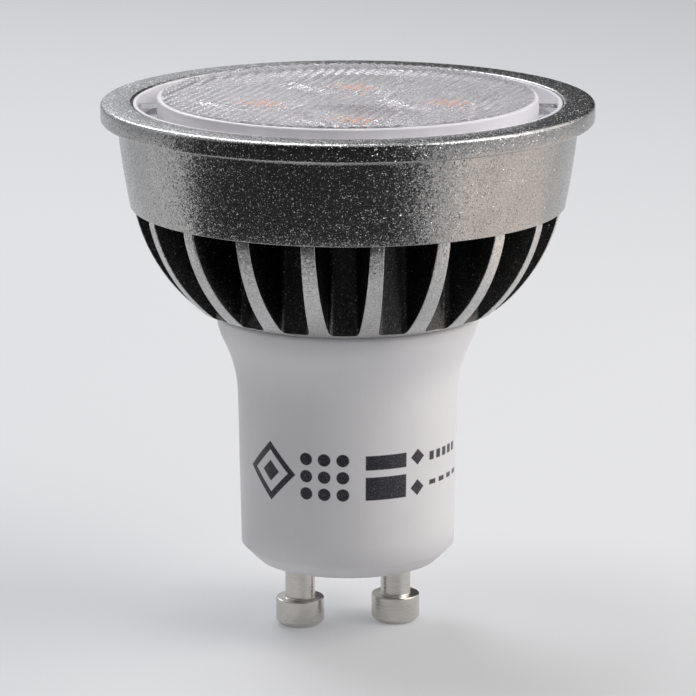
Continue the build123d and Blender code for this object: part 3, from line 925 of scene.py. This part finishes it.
# %% Sizes of the lens
lens_radius = 19.3
lens_thickness = 3.1
lens_underside = lens_top - lens_thickness
quilt_radius = 18.85
quilt_depth = 0.17
quilt_shallow = 0.08
quilt_splits = 4
moat_floor = front_height - 1.9
foot_radius = 18.7
moat_radius = 20.9
ring_top_width = 0.35
ring_top = front_height - 0.1
ring_outer_edge = 0.05
ring_inner_edge = 0.08
moat_corner = 0.15
disc_edge_round = 0.2
cell_top_radius = 6.5
cell_foot_radius = 2.6
cell_bulge = 0.55
cell_overlap = 1.5
hollow_radius = 1.9
hollow_side = 1.5
hollow_height = 2.1
hollow_bulge = 0.28
led_circle = 9.5
led_image_radius = 1.6
lens_steps = 288
cell_steps = 64
hollow_steps = 48
disc_rim = lens_top - quilt_depth - quilt_shallow
quilt_foot = disc_rim - 0.02
quilt_bed = disc_rim - 0.3


def lens_body():
    corners = [(0, lens_underside, 0), (foot_radius, lens_underside, 0), (foot_radius, ledge_height, 0)]
    corners += [(ring_radius, ledge_height, 0), (ring_radius, ring_top, ring_outer_edge)]
    corners += [(ring_radius - ring_top_width, ring_top, ring_inner_edge)]
    corners += [(moat_radius, moat_floor, moat_corner), (lens_radius, moat_floor, moat_corner)]
    corners += [(lens_radius, disc_rim, disc_edge_round)]
    corners += [(quilt_radius, disc_rim, 0), (quilt_radius, quilt_bed, 0), (0, quilt_bed, 0)]
    return turned("lens", filleted(corners, 4), lens_steps)


# %% The quilt
def grow_quilt():
    """A slab whose upper face is a grid of cushions, each highest in its middle."""
    grower = Grower("quilt")
    pitch = grower.asks("Pitch", "Float", quilt_pitch * mm)
    deep = grower.asks("Depth across the rows", "Float", quilt_depth * mm)
    shallow = grower.asks("Depth along the rows", "Float", quilt_shallow * mm)
    side = 2 * (int(quilt_radius / quilt_pitch) + 2) * quilt_pitch
    steps = round(side / quilt_pitch) * quilt_splits + 1
    thickness = 0.6
    values = {"Size": (side * mm, side * mm, thickness * mm), "Vertices X": steps, "Vertices Y": steps}
    slab = grower.node("GeometryNodeMeshCube", None, values)
    place = grower.node("GeometryNodeInputPosition")
    spot = grower.node("ShaderNodeSeparateXYZ", None, {"Vector": place})
    drop = 0.0
    for along, depth in ((spot.output("Y"), deep), (spot, shallow)):
        share = along / grower.asked(pitch)
        across = share.math("FRACT", share + 100) - 0.5
        drop = drop + across * across * 4 * grower.asked(depth)
    upper = spot.math("GREATER_THAN", spot.output("Z"), 0.0)
    fall = grower.node("ShaderNodeCombineXYZ", None, {"Z": drop * upper * -1})
    values = {"Geometry": slab, "Offset": fall}
    dented = grower.node("GeometryNodeSetPosition", None, values)
    values = {
        "Geometry": dented,
        "Translation": (0, 0, (lens_top - thickness / 2) * mm),
        "Rotation": (0, 0, radians(quilt_turn)),
    }
    placed = grower.node("GeometryNodeTransform", None, values)
    return grower.mesh_for("quilt", placed, acrylic)


quilt = grow_quilt()
combine(quilt, rod(quilt_radius, lens_underside, lens_top + past, steps=lens_steps), "INTERSECT")
print("quilt:", len(quilt.data.polygons), "faces")

# %% Cells, hollows and lugs
lug_length = 2.4
lug_width = 2.6
lug_thickness = 1.0
lug_radius = 20.1
lug_height = front_height - 1.1


def cell_at(x, y):
    """A cell under the disc that gathers the light of one LED."""
    side = bulged((cell_foot_radius, cell_foot), (cell_top_radius, lens_underside), cell_bulge, 10)
    top = lens_underside + cell_overlap
    return turned("cell", [(0, cell_foot), *side, (cell_top_radius, top), (0, top)], cell_steps, x, y)


def hollow_at(x, y):
    """The hollow in the foot of a cell, with a domed end, that the LED stands in."""
    side_top = (hollow_radius, cell_foot + hollow_side)
    dome = bulged(side_top, (0, cell_foot + hollow_height), hollow_bulge, 6)
    foot = cell_foot - past
    return turned("hollow", [(0, foot), (hollow_radius, foot)] + dome, hollow_steps, x, y)


def lug(angle):
    """A bridge over the groove, between the disc and the ring."""
    def build(mesh):
        bmesh.ops.create_cube(mesh, size=1)
        size = Matrix.Diagonal((lug_length * mm, lug_width * mm, lug_thickness * mm, 1))
        place = Matrix.Translation((lug_radius * mm, 0, lug_height * mm))
        turn = Matrix.Rotation(radians(angle), 4, "Z")
        bmesh.ops.transform(mesh, matrix=turn @ place @ size, verts=mesh.verts)
    return mesh_object("lug", build)


# %% Join the lens
led_places = on_circle(led_circle, [index * 90 + light_turn for index in range(4)])
lens = lens_body()
combine(lens, quilt, "UNION")
for x, y in led_places:
    combine(lens, cell_at(x, y), "UNION")
    combine(lens, hollow_at(x, y), "DIFFERENCE")
for angle in (light_turn, 180 + light_turn):
    combine(lens, lug(angle), "UNION")
without_slivers(lens)
print("lens:", len(lens.data.polygons), "faces")

# %% Paint the lens
edge_margin = 0.02
ring_margin = 0.05


def lens_finish(centre, normal):
    """0 for clear plastic, 1 for frosted edges, 2 for the quilt and 3 for the hollows over the LEDs,
    with a painted orange image of each LED.
    """
    away = from_axis(centre)
    disc_edge = quilt_radius + edge_margin < away < lens_radius + edge_margin
    outer_ring = away > moat_radius + ring_margin and centre.z > moat_floor
    if disc_edge or outer_ring:
        return 1
    if centre.z > quilt_foot and normal.z > 0.1 and away < quilt_radius + wall_margin:
        return 2
    to_led = min(sqrt((centre.x - x) ** 2 + (centre.y - y) ** 2) for x, y in led_places)
    if to_led < led_image_radius and cell_foot + 1 < centre.z < lens_underside:
        return 3
    return 0


paint(lens, acrylic, frosted, quilted, led_hollow)
for face in lens.data.polygons:
    face.material_index = lens_finish(face.center / mm, face.normal)
print("quilted faces:", sum(face.material_index == 2 for face in lens.data.polygons))
smooth(lens, 25)
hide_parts("front_lens")
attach(lens, "root")

# %% [markdown]
# ## Pieces taken over from the CAD model
# The neck and the small pieces have their full form in the CAD model already. Their meshes come as
# loose triangles, which shade as flat facets. A copy of each is merged and shaded smooth, with its
# real edges kept crisp.

# %% Smooth copies
def smooth_copy(node_name, finish):
    def build(mesh):
        mesh.from_mesh(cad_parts[node_name].data)
    piece = mesh_object(node_name + "_smooth", build, gap=fine_gap)
    paint(piece, finish)
    smooth(piece, 30)
    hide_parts(node_name)
    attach(piece, "root")
    return piece


neck = smooth_copy("neck_housing", white_plastic)
smooth_copy("board_screws", finishes["board_screws"])
for number in range(1, 5):
    smooth_copy(f"led_body_{number}", finishes["led_body"])
    smooth_copy(f"led_emitter_{number}", finishes["led_emitter"])
print("neck:", len(neck.data.polygons), "faces")

# %% [markdown]
# ## The contact pins
# Each pin is turned from the bar: a wide head that locks when the bulb is twisted, a thinner neck, and
# a collar that is riveted inside the cap. Its edges are a little rounded from tumbling. The CAD mesh
# has the same form, but its long thin triangles show as streaks on polished metal, so the pins are
# turned again on the lathe.

# %% Sizes of a pin
pin_offset = 5.0
pin_head_length = 2.9
pin_head_edge = 0.5
pin_neck_radius = 1.55
pin_collar_radius = 2.2
pin_collar_height = 0.8
pin_bore_radius = 0.6
pin_bore_depth = 2.0
pin_edge = 0.15
pin_lock_edge = 0.12
pin_collar_edge = 0.1
pin_steps = 96


def contact_pin(number, x):
    head_top = pin_tip + pin_head_length
    collar_foot = pin_top - pin_collar_height
    bore_foot = pin_top - pin_bore_depth
    corners = [(0, pin_tip, 0), (pin_head_radius - pin_head_edge, pin_tip, pin_edge)]
    corners += [(pin_head_radius, pin_tip + pin_head_edge, pin_edge)]
    corners += [(pin_head_radius, head_top, pin_lock_edge), (pin_neck_radius, head_top, pin_edge)]
    corners += [(pin_neck_radius, collar_foot, 0), (pin_collar_radius, collar_foot, 0)]
    corners += [(pin_collar_radius, pin_top, pin_collar_edge)]
    corners += [(pin_bore_radius, pin_top, 0), (pin_bore_radius, bore_foot, 0), (0, bore_foot, 0)]
    pin = turned(f"turned_pin_{number}", filleted(corners, 5), pin_steps, x)
    paint(pin, finishes["contact_pin"])
    smooth(pin, 35)
    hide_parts(f"contact_pin_{number}")
    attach(pin, "root")


contact_pin(1, -pin_offset)
contact_pin(2, pin_offset)
print("pins at x", -pin_offset, "and", pin_offset, "with tips at", round(pin_tip, 2))

# %% [markdown]
# ## The studio
# A pale floor in a pale room. A strong world light would make the room pale too, but it would also
# flatten the bulb. So the room only looks pale to the rays that show it, in the picture and in metal
# and glass, and the lamps do most of the lighting.

# %% Room
room_tone = (0.62, 0.63, 0.65, 1)
backdrop_tone = (0.52, 0.53, 0.55, 1)
room_light = 0.16


def seen_by(nodes):
    """1 for rays that show the room itself, in the picture or in metal and glass."""
    ray = nodes.node("ShaderNodeLightPath")
    seen = ray.output("Is Camera Ray").larger(ray.output("Is Glossy Ray"))
    return seen.larger(ray.output("Is Transmission Ray"))


def room():
    nodes = Nodes(bpy.context.scene.world.node_tree)
    nodes.tree.nodes.clear()
    around = nodes.node("ShaderNodeBackground", None, {"Color": room_tone, "Strength": room_light})
    backdrop = nodes.node("ShaderNodeBackground", None, {"Color": backdrop_tone, "Strength": 1.0})
    mixed = nodes.node("ShaderNodeMixShader", None, {0: seen_by(nodes), 1: around, 2: backdrop})
    nodes.node("ShaderNodeOutputWorld", None, {"Surface": mixed})


bpy.context.scene.world = bpy.data.worlds.new("studio")
bpy.context.scene.world.use_nodes = True
room()

# %% Floor
floor_reach = 1.5
floor_glow = 0.35


def floor_paper():
    """Pale matte paper. Part of it glows for the rays that show the room, so that it stays pale."""
    finish = Finish("floor_paper")
    tone = finish.mix(finish.noise(120, detail=1), [0.66, 0.665, 0.675, 1], [0.7, 0.705, 0.715, 1])
    paper = finish.node("ShaderNodeBsdfDiffuse", None, {"Color": tone})
    glow = finish.node("ShaderNodeEmission", None, {"Color": room_tone, "Strength": 1.0})
    mixed = finish.node("ShaderNodeMixShader", None, {0: seen_by(finish) * floor_glow, 1: paper, 2: glow})
    finish.node("ShaderNodeOutputMaterial", None, {"Surface": mixed})
    return finish.material


def floor_sheet(mesh):
    corners = [(-floor_reach, -floor_reach), (floor_reach, -floor_reach)]
    corners += [(floor_reach, floor_reach), (-floor_reach, floor_reach)]
    mesh.faces.new([mesh.verts.new((x, y, pin_tip * mm)) for x, y in corners])


floor = mesh_object("floor", floor_sheet)
paint(floor, floor_paper())
print("floor at", round(pin_tip, 2), "mm")

# %% [markdown]
# ### Lamps
# Five soft square panels light the bulb. The light comes mostly from the front right, so the neck
# brightens from left to right, and the left panel only lifts the shade. One small lamp would do the
# same with harder shadows, and from the side the lens would mirror it as a white glare. A large panel
# spreads the same power, so its mirror image stays soft.

# %% Lamps
lamps = (
    ("left_panel", (-0.25, -0.02, 0.2), 0.045, 0.3, 0.1, (1.0, 1.0, 1.0)),
    ("right_panel", (0.26, 0.01, 0.2), 0.045, 0.36, 0.45, (1.0, 0.94, 0.9)),
    ("back_panel", (-0.12, 0.4, 0.42), 0.04, 0.3, 1.8, (0.96, 0.97, 1.0)),
    ("top_panel", (-0.12, 0.06, 0.5), 0.04, 0.2, 0.8, (0.98, 0.98, 1.0)),
    ("front_panel", (0.32, -0.16, 0.3), 0.03, 0.3, 1.2, (1.0, 0.97, 0.95)),
)


def lamp(name, place, aim_height, size, power, colour):
    """A square panel of light at a place, in metres, that faces the bulb's axis at a height."""
    data = bpy.data.lights.new(name, "AREA")
    data.shape = "SQUARE"
    data.size = size
    data.energy = power
    data.color = colour
    made = bpy.data.objects.new(name, data)
    made.location = place
    aim = Vector((0, 0, aim_height)) - Vector(place)
    made.rotation_euler = aim.to_track_quat("-Z", "Y").to_euler()
    made.visible_camera = False
    bpy.context.collection.objects.link(made)


for values in lamps:
    lamp(*values)
print("lamps:", len(lamps))

# %% [markdown]
# ### Cards and cloths
# Photographers surround bright metal with cards and cloths, so that it reads as metal. A dark cloth
# lies in front of the bulb and rises behind the camera, and darkens the middle and the left of the
# band. Another hangs behind the bulb, to the right, and darkens the rim and the glare on that side of
# the lens. A pale card lies at each side and draws a highlight down the band. Only mirror reflections
# see them, so they add no light to the floor.

# %% Cards and cloths
card_steps = 18
card_height = pin_tip + 1.5
card_near = 62
card_far = 190
cloth_far = 620


def card(name, left, right, rows, material):
    """A sheet round the bulb from one angle to another, through rows of (distance, height) in mm."""
    def build(mesh):
        edges = []
        for away, height in rows:
            edge = []
            for index in range(card_steps + 1):
                angle = radians(camera_side + left + (right - left) * index / card_steps)
                edge.append(mesh.verts.new((away * cos(angle) * mm, away * sin(angle) * mm, height * mm)))
            edges.append(edge)
        for near, far in zip(edges, edges[1:]):
            for index in range(card_steps):
                mesh.faces.new((near[index], near[index + 1], far[index + 1], far[index]))
    sheet = mesh_object(name, build)
    paint(sheet, material)
    sheet.visible_camera = False
    sheet.visible_diffuse = False
    sheet.visible_transmission = False
    sheet.visible_shadow = False


def glowing(name, colour, strength):
    finish = Finish(name)
    glow = finish.node("ShaderNodeEmission", None, {"Color": colour, "Strength": strength})
    finish.node("ShaderNodeOutputMaterial", None, {"Surface": glow})
    return finish.material


black_cloth = plain("black_cloth", (0.012, 0.012, 0.013), 0.8)
white_glow = glowing("white_card", (1, 1, 1, 1), 0.9)
warm_glow = glowing("warm_card", (1, 0.9, 0.83, 1), 1.2)
front_rows = [(card_near, card_height), (cloth_far, card_height), (640, 600)]
side_rows = [(card_near, card_height), (card_far, card_height)]
card("front_cloth", -84, 36, front_rows, black_cloth)
card("back_cloth", 140, 181, [(cloth_far, 40), (600, 380)], black_cloth)
card("left_card", -118, -86, side_rows, white_glow)
card("right_card", 52, 120, side_rows, warm_glow)
print("cards and cloths: 4")

# %% [markdown]
# ## The camera
# The photograph looks at the bulb from about 40 cm away and 12 degrees above it. A nearer or a wider
# view would change the ellipses of the rim. So the camera stands at the same place, and only its lens
# is a little shorter and its aim a little lower, to take in the whole bulb, down to the pins.

# %% Camera
camera_place = Vector((-53.7, -402.6, 118.2)) * mm
camera_pitch = 13.35
camera_heading = -7.6
camera_lens = 210.5

camera_data = bpy.data.cameras.new("camera")
camera_data.lens = camera_lens
camera_data.clip_start = 0.02
camera = bpy.data.objects.new("camera", camera_data)
camera.location = camera_place
camera.rotation_euler = (radians(90 - camera_pitch), 0, radians(camera_heading))
bpy.context.collection.objects.link(camera)
bpy.context.scene.camera = camera
bpy.context.scene.view_settings.view_transform = "Standard"
